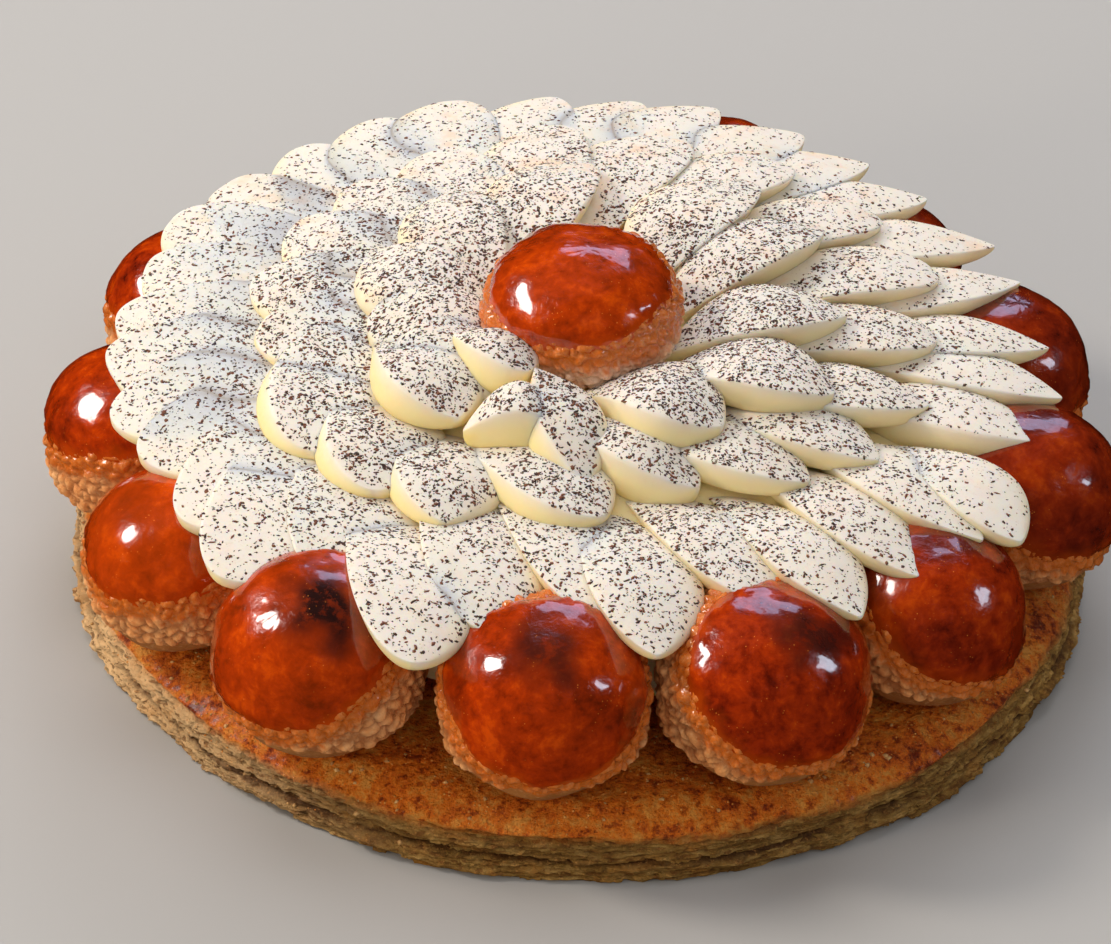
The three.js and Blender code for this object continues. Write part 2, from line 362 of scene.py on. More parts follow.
disc = {
    "low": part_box("pastry_disc")[0],
    "high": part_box("pastry_disc")[1],
    "radius": 120.5 * mm,
    "rimHeight": 10 * mm,   # the top falls away to this at the rim
    "slope": 11 * mm,       # how far in from the rim it starts to fall
    "around": 920,          # steps round the rim
    "sideRows": 44,
    "topRings": 34,
    "split": 0.46,          # height of the dark furrow between the two slabs, as a share of the rim
    "furrow": 1.9 * mm,
    "leafHeight": 0.85 * mm,
    "leafReach": 1.5 * mm,  # how unevenly the leaves end
    "crack": 1.1 * mm,      # depth of the cracks between leaves
    "lumps": 0.8 * mm,
    "topRelief": 1.0 * mm,
    "wander": 2 * mm,       # how far the rim strays from a circle
    "furrowWander": (0.10, 0.05),       # slow and quick, as shares of the rim
    "slabs": (0.9 * mm, -0.5 * mm),     # how far the lower and the upper slab stand out
    "broken": {"size": 5.5, "depth": 0.6 * mm},
    "worn": (1.3 * mm, 1.0 * mm),       # rounding of the upper and the lower edge
    "rimSkin": 1.6 * mm,    # how far in from the rim the top starts
    "topDrop": 0.3 * mm,
}


def discRim(turn, height):
    # how far the rim strays from a circle
    waves = math.sin(2 * turn + 3.5) + 0.3 * math.sin(7 * turn + height / mm) + 0.2 * math.sin(13 * turn)
    return disc["wander"] * waves


def sideOfDisc(turn, z):
    # how far the layered side stands out, and how much painted shade its furrow, cracks and hollows get
    around = Vector((math.cos(turn), math.sin(turn), 0))
    share = z / disc["rimHeight"]
    lumpy = 0.55 - 0.45 * math.cos(turn + 0.5)   # crumbly on the left, leafy on the right
    slow, quick = disc["furrowWander"]
    furrowAt = disc["split"] + slow * noise.noise(around * 3) + quick * noise.noise(around * 11)
    furrowAt *= disc["rimHeight"]
    gaping = smooth(-0.45, 0.1, noise.noise(around * 7 + Vector((9, 0, 0))))
    furrow = math.exp(-((z - furrowAt) / (0.55 * mm)) ** 2) * gaping
    phase = z / disc["leafHeight"] + 2.0 * noise.noise(around * 2.6)
    phase += 0.8 * noise.noise(around * 9 + Vector((0, 0, 3)))
    leaf = math.floor(phase)
    within = phase - leaf
    ends = noise.noise(around * 7 + Vector((0, 0, 5.3 * leaf)))
    ends += 0.6 * noise.noise(around * 27 + Vector((0, 0, 3.1 * leaf)))
    shows = smooth(-0.2, 0.25, noise.noise(around * 12 + Vector((0, 0, 4.7 * leaf))))
    crack = smooth(0.2, 0.0, min(within, 1 - within)) * shows
    spot = around * disc["radius"] / mm + Vector((0, 0, 1.5 * z / mm))
    lumps = noise.noise(spot * 0.3) + 0.7 * noise.noise(spot * 0.75) + 0.35 * noise.noise(spot * 1.6)
    nearest = noise.voronoi(spot / disc["broken"]["size"])[0]
    broken = smooth(0.10, 0.0, nearest[1] - nearest[0]) * smooth(0.0, 0.3, noise.noise(spot * 0.09))
    out = disc["leafReach"] * (1 - 0.5 * lumpy) * ends + disc["lumps"] * (0.25 + 1.25 * lumpy) * lumps
    out -= disc["crack"] * crack + disc["furrow"] * furrow + disc["broken"]["depth"] * broken
    out += disc["slabs"][0 if z < furrowAt else 1]
    out -= disc["worn"][0] * smooth(0.78, 1.0, share) + disc["worn"][1] * smooth(0.12, 0.0, share)
    return out, min(1.0, furrow + 0.8 * crack + 0.4 * broken + 0.5 * smooth(-0.2, -0.9, lumps))


def topOfDisc(x, y, fromRim):
    full = disc["high"].z - disc["low"].z
    share = min(max(fromRim / disc["slope"], 0), 1)
    rise = full - disc["topDrop"] - disc["rimHeight"]
    level = disc["rimHeight"] + rise * math.sin(share * math.pi / 2) ** 1.1
    place = Vector((x, y, 0)) / mm
    blister = noise.fractal(place * 0.11, 1.0, 2.0, 4)
    grain = noise.noise(place * 0.45) + 0.7 * noise.noise(place * 0.95)
    relief = disc["topRelief"] * (0.6 * blister + 0.4 * grain)
    relief *= 0.45 + 0.55 * smooth(18 * mm, 10 * mm, fromRim)   # rougher by the rim
    return min(level + relief, full + 0.2 * mm)


def pastryDisc():
    radius = disc["radius"]
    rim = disc["rimHeight"]
    rows = disc["sideRows"]
    profile = [(0.0, 0.0), (0.6 * radius, 0.0), (radius - 3 * mm, 0.0)]
    profile += [(radius, rim * (k + 0.3) / rows) for k in range(rows)]
    profile += [(radius - disc["rimSkin"] - 0.34 * radius * (k / disc["topRings"]) ** 1.25, 2 * rim)
                for k in range(disc["topRings"] + 1)]
    profile += [(0.3 * radius, 2 * rim), (0.0, 2 * rim)]
    bm = turned(profile, disc["around"])
    topLayer = bm.verts.layers.float.new("top")
    recessShadeLayer = bm.verts.layers.float.new("groove")
    for vert in bm.verts:
        x, y, z = vert.co
        r = math.hypot(x, y)
        if r < 1e-6:
            vert.co.z = disc["high"].z - disc["topDrop"] if z > rim else 0
            continue
        turn = math.atan2(y, x)
        out = discRim(turn, z) * (r / radius) ** 2
        if z > 1.5 * rim:
            fromRim = radius - r
            z = topOfDisc(x, y, fromRim)
            wavering = 1.2 * mm * noise.noise(Vector((x, y, 0)) / (4 * mm))
            vert[topLayer] = smooth(0.2 * mm, 1.8 * mm, fromRim + wavering)
        elif r > radius - 2 * mm:
            along, groove = sideOfDisc(turn, z)
            out += along
            # painted shade in the furrow, cracks and hollows
            vert[recessShadeLayer] = groove
            vert[topLayer] = 0.35 * smooth(0.85, 1.0, z / rim)
        vert.co = Vector((x * (r + out) / r, y * (r + out) / r, max(z, 0)))
    bmesh.ops.recalc_face_normals(bm, faces=bm.faces)
    return finishPiece("pastryDisc", bm, pastry, ["pastry_disc"])


pastryPiece = pastryDisc()
print("pastry disc made")


# ---- puffs

puff = {
    "foot": 0.88,
    "squareness": 2.3,
    # each cap: outward lean, angle from its pole to its rim, how far the rim dips, towards which turn,
    # scorching, the turn of the scorched spot, and painted shade over the whole cap, or below 0 painted light
    "caps": [
        (38, 73, 6, 60, 0.85, 170, -0.15), (36, 72, 8, 80, 0.9, 125, 0.12), (30, 81, 6, 60, 0.75, 160, 0.25),
        (22, 84, 6, -60, 0.7, 150, 0.4), (12, 87, 5, 0, 0.5, 60, 0.4), (10, 80, 3, 0, 0.4, 0, 0.35),
        (10, 74, 3, 40, 0.3, 40, 0.3), (8, 74, 2, 0, 0.4, 200, 0.2), (8, 74, 2, 100, 0.3, 90, 0.2),
        (10, 73, 3, 0, 0.4, 250, 0.05), (12, 71, 3, 0, 0.35, 120, -0.1), (14, 70, 4, 20, 0.15, 10, -0.5),
        (30, 76, 8, -70, 1.0, 120, -0.3),
    ],
    "rimWander": 5,        # how much a rim rises and falls
    "glaze": 0.8 * mm,     # how far the caramel stands over the crust
    "wetBand": 11,         # degrees of coated crumbs below the rim
    "crumbSize": 3.1 * mm,
    "crumbHeight": 1.5 * mm,
    "crumbPush": [(1.5, 0.26), (0.2, 0.9)],   # how far and how often noise pushes the crumbs about
    "swelling": 0.8 * mm,
    "inset": 0.7 * mm,     # how far the choux stays inside its outline
    "scorchLean": 0.36,    # how far the scorched spot lies from the cap's pole
    "skirtEnd": 0.48,      # where the crumbs end below the middle, as a share of the half height
    "around": 236,
    "down": 104,
    # rows crowd where the crumbs show: share of the rows, angle from the pole
    "rows": [(0, 0), (0.05, 50), (0.12, 64), (0.84, 130), (1, 180)],
    "capAround": 112,
    "capDown": 68,
}
topPuff = {"foot": 0.9, "cap": (4, 74, 12, 222, 0.1, 60, -0.25), "wetBand": 30, "pale": 0.85}


def chouxReach(direction, place):
    flat = math.hypot(direction.x, direction.y) / place["halfWidth"]
    power = puff["squareness"]
    return (flat ** power + abs(direction.z / place["halfHeight"]) ** power) ** (-1 / power)


def pastRim(own, place):
    # radians below the rim of the caramel, negative on the cap
    down = math.acos(max(-1, min(1, own.z)))
    turn = math.atan2(own.y, own.x)
    circle = Vector((math.cos(turn), math.sin(turn), place["seed"] * 3.7))
    wander = puff["rimWander"] * (noise.noise(circle * 1.6) + 0.6 * noise.noise(circle * 5))
    rim = place["rim"] + place["dip"] * math.cos(turn - math.radians(place["dipTurn"])) + wander
    return down - math.radians(rim)


def cobbles(spot, size):
    # rounded crumbs pressed together: 1 on a crumb and 0 in a crack
    nearest = noise.voronoi(spot / size)[0]
    dome = max(0.0, 1 - (nearest[0] / 0.8) ** 2)
    return (0.55 + 0.45 * dome) * math.sin(min(1.0, 1.7 * (nearest[1] - nearest[0])) * math.pi / 2) ** 0.7


def crumbsAt(spot):
    pushed = spot.copy()
    for push, often in puff["crumbPush"]:
        pushed += push * noise.noise_vector(spot * often)
    return cobbles(pushed, puff["crumbSize"] / mm)


def onPuff(own, lean, place):
    # direction and reach of a point on the outline, its place in millimetres and how far it is past the rim
    direction = lean @ own
    reach = chouxReach(direction, place)
    spot = direction * reach / mm + Vector((0, 0, 61 * place["seed"]))   # each puff reads its own noise
    return direction, reach, spot, pastRim(own, place)


def swellingAt(spot):
    return puff["swelling"] * noise.noise(spot * 0.09) - puff["inset"]


def rowAngle(share):
    for (start, startAngle), (end, endAngle) in zip(puff["rows"], puff["rows"][1:]):
        if share <= end:
            break
    return startAngle + (endAngle - startAngle) * min((share - start) / (end - start), 1)


def puffBody(place):
    bm = bmesh.new()
    bmesh.ops.create_uvsphere(bm, u_segments=puff["around"], v_segments=puff["down"], radius=1)
    crumbLayer = bm.verts.layers.float.new("crumb")
    crackShadeLayer = bm.verts.layers.float.new("crack")
    wetLayer = bm.verts.layers.float.new("wet")
    paleLayer = bm.verts.layers.float.new("pale")
    lean = Matrix.Rotation(math.radians(place["lean"]), 3, "Y")
    for vert in bm.verts:
        share = math.acos(max(-1, min(1, vert.co.z))) / math.pi
        down = math.radians(rowAngle(share))
        turn = math.atan2(vert.co.y, vert.co.x)
        own = Vector((math.sin(down) * math.cos(turn), math.sin(down) * math.sin(turn), math.cos(down)))
        direction, reach, spot, past = onPuff(own, lean, place)
        below = -direction.z * reach / place["halfHeight"]
        ragged = 0.09 * noise.noise(Vector((direction.x * 3, direction.y * 3, place["seed"])))
        crumb = 1 - smooth(puff["skirtEnd"] - 0.05 + ragged, puff["skirtEnd"] + 0.05 + ragged, below)
        fine = noise.noise(spot * 1.1)
        relief = swellingAt(spot)
        cobble = 1
        hidden = smooth(-0.07, -0.24, past)
        if crumb > 0 and hidden < 1:
            cobble = crumbsAt(spot)
            height = puff["crumbHeight"] * (0.95 * cobble + 0.12 * fine) - 0.1 * mm
            relief += crumb * (1 - hidden) * height
        relief -= 0.5 * mm * hidden
        relief += (1 - crumb) * (0.15 * mm * fine - 0.5 * mm)   # the smooth foot stands back
        vert.co = direction * (reach + relief)
        vert.co.z = max(vert.co.z, -place["foot"] * place["halfHeight"])
        coated = math.degrees(past) + 5 * fine
        vert[crumbLayer] = crumb
        # painted shade between the crumbs
        vert[crackShadeLayer] = crumb * (1 - smooth(0.2, 0.8, cobble))
        vert[wetLayer] = 1 - smooth(0.45 * place["wetBand"], place["wetBand"], coated)
        vert[paleLayer] = place["pale"] * smooth(-0.05, 0.25, below + 0.5 * ragged + 0.12 * fine)
    bmesh.ops.transform(bm, matrix=place["matrix"], verts=bm.verts)
    return bm


def puffCap(place):
    bm = bmesh.new()
    bmesh.ops.create_uvsphere(bm, u_segments=puff["capAround"], v_segments=puff["capDown"], radius=1)
    scorchAndShadeLayer = bm.verts.layers.float.new("scorch")
    thinAndLitLayer = bm.verts.layers.float.new("thin")
    lean = Matrix.Rotation(math.radians(place["lean"]), 3, "Y")
    spotAngle = math.radians(place["scorchTurn"])
    away = puff["scorchLean"]
    scorchSpot = Vector((away * math.cos(spotAngle), away * math.sin(spotAngle), 1)).normalized()
    for vert in bm.verts:
        own = vert.co.copy()
        direction, reach, spot, past = onPuff(own, lean, place)
        nearRim = smooth(-0.5, -0.04, past)
        lumps = (0.08 + 0.8 * nearRim) * mm * (crumbsAt(spot) - 0.6) + 0.12 * mm * noise.noise(spot * 0.28)
        sink = smooth(-0.22, 0.03, past)
        relief = swellingAt(spot)
        relief += (puff["glaze"] + lumps + 0.35 * mm * nearRim) * (1 - sink)
        relief -= 2.8 * mm * smooth(0.0, 0.2, past)   # past its rim the cap hides in the choux
        vert.co = direction * (reach + relief)
        vert.co.z = max(vert.co.z, -0.75 * place["halfHeight"])
        near = own.angle(scorchSpot)
        burnt = place["scorch"] * (1 - smooth(0.12, 0.62, near + 0.25 * noise.noise(spot * 0.16)))
        # the scorched spot, and painted shade over the whole cap
        vert[scorchAndShadeLayer] = max(burnt, place["dark"])
        thin = smooth(-0.3, 0.0, past + 0.12 * noise.noise(spot * 0.25))
        # thin caramel by the rim, and painted light over the whole cap
        vert[thinAndLitLayer] = max(thin, -place["dark"])
    bmesh.ops.transform(bm, matrix=place["matrix"], verts=bm.verts)
    return bm


def makePuff(node, seed, foot, cap, wetBand, pale=0):
    # fits a puff to its node's box
    low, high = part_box(node)
    middle = (low + high) / 2
    halfHeight = (high.z - low.z) / (1 + foot)
    middle.z = low.z + foot * halfHeight
    turn = math.atan2(middle.y, middle.x) if middle.xy.length > 10 * mm else 0
    place = dict(zip(["lean", "rim", "dip", "dipTurn", "scorch", "scorchTurn", "dark"], cap))
    place.update({
        "seed": seed, "foot": foot, "wetBand": wetBand, "pale": pale, "halfHeight": halfHeight,
        "halfWidth": max(high.x - low.x, high.y - low.y) / 2 + 0.2 * mm,
        "matrix": Matrix.Translation(middle) @ Matrix.Rotation(turn, 4, "Z"),
    })
    finishPiece(node + "_choux", puffBody(place), choux, [node])
    finishPiece(node + "_caramel", puffCap(place), caramel, [node])


for puffIndex, puffCapValues in enumerate(puff["caps"]):
    makePuff(f"puff_{puffIndex + 1:02d}", puffIndex + 1, puff["foot"], puffCapValues, puff["wetBand"])
makePuff("puff_top", 20, topPuff["foot"], topPuff["cap"], topPuff["wetBand"], topPuff["pale"])
print("puffs made")


# ---- cream

bed = {
    "floor": 15.3 * mm,
    "profile": [(84, 0), (90, 14), (91.5, 30), (84, 33.5), (70, 36.5), (48, 41), (26, 46)],
    "around": 120,
    "unevenness": 1.2 * mm,
    # painted warm shade of the bed, which shows only between the petals
    "bedShade": 0.45,
}
petal = {
    # half of the section is the face and the rest the belly: side (1 is the sharp edge), height
    "section": [(1.0, 0.0), (0.74, 0.34), (0.36, 0.72), (-0.08, 0.98), (-0.54, 0.95), (-0.92, 0.55),
                (-1.1, -0.1), (-0.98, -0.72), (-0.4, -1.05), (0.3, -1.1), (0.84, -0.95), (0.93, -0.42)],
    "stations": 14,
    "flatness": 1.5,     # how soon the face flattens towards the tip
    "bend": 0.3,         # bow that straightens the sharp edge, as a share of the half width
    "bellyFullness": 0.62,
    "sharpness": (0.62, 0.38, 335),   # crease along the sharp edge
    "butter": (0.75, 0.25, 232),      # painted warm shade near the tails and low on the walls
    "levels": 2,
    "fullestAt": 1.35,   # over 1 moves the widest place towards the tip
    "softness": 0.5 * mm,
    "sideShade": 0.3,   # how much painted warm shade the back edge gets
}
# angles in degrees, reaches and lengths in millimetres; three numbers swing round the cake, as swingAt says,
# and places gives some petals their own angle, reach and lean
petalRings = {
    "outer": {
        "count": 32, "firstAngle": 275.3, "lengthShare": 0.56, "halfWidth": (14.2 * mm, 2.4 * mm, 165),
        "depth": 7 * mm, "arch": 4 * mm,
        "crest": (1.6 * mm, 1.3 * mm, 330), "tilt": (7, 6, 325),
        "flare": 0,
        "reach": (110, 4.2, 95), "lean": (4, 24, 240),
        "tailHeight": (53.5 * mm, 1 * mm, 110), "tipHeight": (54.5 * mm, 2.5 * mm, 115),
        "roundness": (0.62, 0.27, 355),
        # in front long and short petals take turns
        "places": {
            26: (204, 107, 24), 27: (217.5, 108, 30), 28: (228, 114, 31), 29: (238.5, 101, 36),
            30: (253, 116.5, 32), 31: (259, 101, 25), 0: (275, 97, 23), 1: (279.5, 107.5, 8),
            2: (297, 101, 15), 3: (304.5, 110.5, 4), 4: (315, 107.5, 0), 5: (325.5, 110.5, -4),
            6: (347, 112, 0), 7: (356, 113, -7), 8: (6, 111.5, 0), 9: (20, 112.5, 4),
            32: (328, 117.5, -18),
        },
        "changes": {
            30: {"length": 60},
            6: {"depth": 11 * mm, "flare": 0.3},
            32: {"length": 46, "halfWidth": 11 * mm},
        },
    },
    "middle": {
        "count": 20, "firstAngle": 275, "lengthShare": 0.66, "halfWidth": (14.2 * mm, 1.6 * mm, 150),
        "depth": 8 * mm, "arch": 4.5 * mm,
        "crest": (1.9 * mm, 1.1 * mm, 330), "tilt": (8, 5, 310),
        "flare": (0.22, 0.38, 225),
        "reach": (81, 12, 70), "lean": (18, 26, 250),
        "tailHeight": (57 * mm, 1.3 * mm, 90), "tipHeight": (60 * mm, 1 * mm, 115),
        "roundness": (0.56, 0.16, 320),
        "places": {
            17: (217, 74, 58), 18: (232, 74, 46), 19: (246.5, 75, 31), 0: (275, 65.5, 44),
            1: (296.5, 60.5, 33), 2: (316, 72.5, 22), 3: (328.5, 80, 8),
        },
        "changes": {
            17: {"length": 50},
            19: {"length": 44, "tailHeight": 53.5 * mm},
            0: {"tailHeight": 55 * mm, "fullestAt": 1.6},
            1: {"length": 40, "halfWidth": 11 * mm, "depth": 12.5 * mm, "flare": 0.3, "tailHeight": 60 * mm,
                "tipHeight": 59.5 * mm, "arch": 5 * mm},
            5: {"roundness": 0.44, "fullestAt": 1.8},
            6: {"roundness": 0.36, "fullestAt": 2.1},
            7: {"roundness": 0.32, "fullestAt": 2.3},
            8: {"roundness": 0.32, "fullestAt": 2.3},
            9: {"roundness": 0.42, "fullestAt": 2.0},
        },
    },
    "inner": {
        "count": 12, "firstAngle": 272, "lengthShare": 0.74, "halfWidth": 13.5 * mm,
        "depth": 10 * mm, "arch": 5.5 * mm,
        "crest": (2.3 * mm, 0.7 * mm, 330), "tilt": (10, 3, 320),
        "flare": (0.24, 0.5, 228),
        "reach": (58, 12, 60), "lean": (7, 24, 290),
        "tailHeight": 62.5 * mm, "tipHeight": (66 * mm, 0.5 * mm, 330),
        "roundness": (0.6, 0.12, 330),
        # the petals that meet where the piping ended
        "places": {
            0: (271.5, 56, 20), 1: (309, 51.5, 25), 2: (335.5, 64, 11), 3: (5.5, 62.5, 12), 4: (37, 71, 8),
            5: (57, 74, 2), 11: (247, 28.5, 80), 12: (234.5, 48, 66), 13: (264.5, 39, 99),
        },
        "changes": {
            0: {"length": 33, "halfWidth": 8 * mm, "arch": 3.5 * mm, "tailHeight": 71 * mm,
                "tipHeight": 61 * mm, "roundness": 0.8, "flare": 0.75, "crest": 1.8 * mm, "sharpness": 0.7,
                "fullestAt": 1.1},
            1: {"length": 37},
            11: {"length": 22, "halfWidth": 8 * mm, "arch": 2 * mm, "tailHeight": 72 * mm,
                 "tipHeight": 71 * mm, "roundness": 0.5, "tilt": 14},
            12: {"length": 41},
            13: {"length": 23, "halfWidth": 6 * mm, "arch": 7 * mm, "tailHeight": 63.5 * mm,
                 "tipHeight": 66 * mm, "roundness": 0.5, "depth": 12 * mm, "flare": 0.4, "crest": 2 * mm,
                 "tilt": 3, "sharpness": 0.8},
        },
    },
}
variety = {"angle": 1.6, "reach": 2.5, "tilt": 2.5, "length": 0.07, "width": 0.08, "roundness": 0.08}


def petalShape(ring, i):
    angle = ring["firstAngle"] + 360 / ring["count"] * i + variety["angle"] * uneven(i, 4)
    shape = {key: swingAt(value, angle) for key, value in ring.items() if key not in ("places", "changes")}
    shape.update({"angle": angle, "seed": 7.7 * i, "fullestAt": petal["fullestAt"]})
    shape["reach"] += variety["reach"] * uneven(i, 5)
    shape["length"] = shape["lengthShare"] * shape["reach"] * (1 + variety["length"] * uneven(i, 1))
    shape["halfWidth"] *= 1 + variety["width"] * uneven(i, 2)
    shape["roundness"] += variety["roundness"] * uneven(i, 6)
    shape["tilt"] += variety["tilt"] * uneven(i, 3)
    shape["sharpness"] = swingAt(petal["sharpness"], angle)
    shape.update(zip(("angle", "reach", "lean"), ring["places"].get(i, ())))
    shape.update(ring["changes"].get(i, {}))
    return shape


def addPetal(bm, shape):
    # one petal with its sharp edge on the clockwise side
    section = petal["section"]
    made = bmesh.ops.create_uvsphere(
        bm, u_segments=len(section), v_segments=petal["stations"], radius=1)["verts"]
    wallLayer = bm.verts.layers.float["wall"]
    warmShadeLayer = bm.verts.layers.float["crease"]
    sharpLayer = bm.edges.layers.float["crease_edge"]
    tilt = math.tan(math.radians(shape["tilt"]))
    angle = math.radians(shape["angle"])
    heading = math.radians(shape["angle"] + shape["lean"])
    spine = Vector((math.cos(heading), math.sin(heading))) * (shape["length"] * mm)
    clockwise = Vector((math.sin(heading), -math.cos(heading)))
    tail = Vector((math.cos(angle), math.sin(angle))) * shape["reach"] * mm - spine
    sharp = set()
    for vert in made:
        down = math.acos(max(-1, min(1, vert.co.z)))
        along = (1 - math.cos(down)) / 2
        column = round(math.atan2(vert.co.y, vert.co.x) / (2 * math.pi) * len(section)) % len(section)
        side, height = section[column]
        atEnd = down < 1e-4 or down > math.pi - 1e-4
        full = 0 if atEnd else math.sin(math.pi * along ** shape["fullestAt"]) ** shape["roundness"]
        if side > 0 and height < 0:
            side *= 1 - shape["flare"] * height   # the wall slopes outwards
        across = shape["halfWidth"] * (side * full - 4 * petal["bend"] * along * (1 - along))
        if height > 0:
            up = height * shape["crest"] * full ** petal["flatness"]
        else:
            up = height * shape["depth"] * full ** petal["bellyFullness"]
        climb = shape["arch"] * math.sin(math.pi * along) + (shape["tipHeight"] - shape["tailHeight"]) * along
        soft = petal["softness"] * noise.noise(Vector((along * 4, side * 2, shape["seed"]))) * full
        place = tail + spine * along + clockwise * across
        vert.co = (place.x, place.y, shape["tailHeight"] + climb + up + across * tilt + soft)
        vert[wallLayer] = smooth(0.05, -0.35, height)
        # painted warm shade near the tail, low on the walls and along the rounded side
        lower = max(smooth(0.35, 0.05, along), 0.85 * smooth(-0.05, -0.65, height))
        lower *= smooth(0.2, -0.3, height)
        lower *= swingAt(petal["butter"], shape["angle"])
        vert[warmShadeLayer] = max(lower, petal["sideShade"] * smooth(-0.6, -1.05, side))
        if column == 0 or atEnd:
            sharp.add(vert)
    for vert in sharp:
        for edge in vert.link_edges:
            if edge.other_vert(vert) in sharp:
                edge[sharpLayer] = shape["sharpness"]


def ringOfPetals(name, ring):
    bm = bmesh.new()
    bm.verts.layers.float.new("wall")
    bm.verts.layers.float.new("crease")
    bm.edges.layers.float.new("crease_edge")
    for i in range(max(ring["count"], 1 + max(ring["places"]))):
        addPetal(bm, petalShape(ring, i))
    return finishPiece(name + "Petals", bm, cream, ["cream"], petal["levels"])


def creamBed():
    profile = [(r * mm, bed["floor"] + z * mm) for r, z in bed["profile"]]
    bm = turned([(0, bed["floor"])] + profile + [(0, profile[-1][1])], bed["around"])
    wallLayer = bm.verts.layers.float.new("wall")
    warmShadeLayer = bm.verts.layers.float.new("crease")
    for vert in bm.verts:
        vert[wallLayer] = 1
        vert[warmShadeLayer] = bed["bedShade"]
        if vert.co.z > bed["floor"] + mm:
            vert.co += vert.co.normalized() * bed["unevenness"] * noise.noise(vert.co / mm * 0.06)
    bmesh.ops.recalc_face_normals(bm, faces=bm.faces)
    return finishPiece("creamBed", bm, cream, ["cream"], 1)


creamPieces = [creamBed()]
for ringName, ringValues in petalRings.items():
    creamPieces.append(ringOfPetals(ringName, ringValues))
print("cream piped")


# ---- small pieces strewn over a surface

def drawTurn(draw):
    return draw.random() * 2 * math.pi


def drawSize(draw, sizes, power=1):
    # metres, between two sizes in millimetres, and more often small where the power is over 1
    small, large = sizes
    return (small + (large - small) * draw.random() ** power) * mm


def flakeShape(sides):
    # a ring of corners with a point above and below
    bm = bmesh.new()
    bmesh.ops.create_uvsphere(bm, u_segments=sides, v_segments=2, radius=1)
    return partsOf(bm)


def leafShape(kind):
    # a thin ragged leaf of pastry whose outer edge curls
    bm = bmesh.new()
    bmesh.ops.create_grid(bm, x_segments=8, y_segments=2, size=1)
    for vert in bm.verts:
        x, y, z = vert.co
        ragged = noise.noise(Vector((2.2 * x, 5.1 * kind, 0)))
        curl = 0.3 * ragged * y - 0.35 * smooth(-0.2, 1, y) + 0.15 * x * x
        vert.co = Vector((x * (1 - 0.15 * y), y * (0.8 + 0.7 * ragged), curl))
    bmesh.ops.solidify(bm, geom=bm.faces[:], thickness=0.22)
    bmesh.ops.recalc_face_normals(bm, faces=bm.faces)
    return partsOf(bm)


def partsOf(bm):
    verts = np.array([vert.co for vert in bm.verts])
    faces = [[vert.index for vert in face.verts] for face in bm.faces]
    bm.free()
    return verts, faces


def scattered(name, shapes, matrices, finish, roughness=0.35):
    # one mesh of many small copies
    allVerts = []
    allFaces = []
    first = 0
    for k, matrix in enumerate(matrices):
        verts, faces = shapes[k % len(shapes)]
        spun = np.array(matrix.to_3x3())
        jitter = 1 + roughness * np.sin(np.arange(len(verts)) * 2.1 + 1.7 * k)
        allVerts.append((verts * jitter[:, None]) @ spun.T + np.array(matrix.translation))
        allFaces.extend([[corner + first for corner in face] for face in faces])
        first += len(verts)
    mesh = bpy.data.meshes.new(name)
    mesh.from_pydata(np.concatenate(allVerts).tolist(), [], allFaces)
    return placePiece(name, mesh, finish)


def lieOn(point, normal, turn, length, width, thickness):
    # a placement flat on a surface
    tilt = normal.to_track_quat("Z", "Y").to_matrix().to_4x4()
    return (Matrix.Translation(point) @ tilt @ Matrix.Rotation(turn, 4, "Z")
            @ Matrix.Diagonal((length, width, thickness, 1)))


def topSurface(pieces):
    # each piece as a tree for casting onto, with how much of a wall each of its faces is
    depsgraph = bpy.context.evaluated_depsgraph_get()
    surfaces = []
    for piece in pieces:
        mesh = piece.evaluated_get(depsgraph).data
        walls = np.zeros(len(mesh.vertices))
        if "wall" in mesh.attributes:
            mesh.attributes["wall"].data.foreach_get("value", walls)
        firstCorners = np.empty(len(mesh.polygons), dtype=int)
        mesh.polygons.foreach_get("loop_start", firstCorners)
        corners = np.empty(len(mesh.loops), dtype=int)
        mesh.loops.foreach_get("vertex_index", corners)
        surfaces.append((BVHTree.FromObject(piece, depsgraph), walls[corners[firstCorners]]))
    return surfaces


def dropOnto(surfaces, x, y):
    # the highest place below, its normal and how much of a wall it is
    best = None
    for tree, walls in surfaces:
        point, normal, index, distance = tree.ray_cast(Vector((x, y, 0.2)), Vector((0, 0, -1)))
        if point and (best is None or point.z > best[0].z):
            best = (point, normal, walls[index])
    return best


# ---- loose leaves, sugar and crumbs of the pastry

leaves = {
    "count": 720,
    "length": (1.2, 5.5),
    "width": (0.7, 1.5),
    "thickness": 0.75 * mm,
    "leafySide": -35,     # degrees, where the edge is leafiest
    "seed": 21,
}
strewn = {
    "bakedSugar": {"count": 3600, "finish": sugar, "size": (0.14, 0.34), "seed": 12,
                   "from": 86 * mm, "to": 119 * mm},
    "bakedCrumbs": {"count": 380, "finish": bakedCrumb, "size": (0.3, 0.75), "seed": 13,
                    "from": 90 * mm, "to": 120.5 * mm},
}


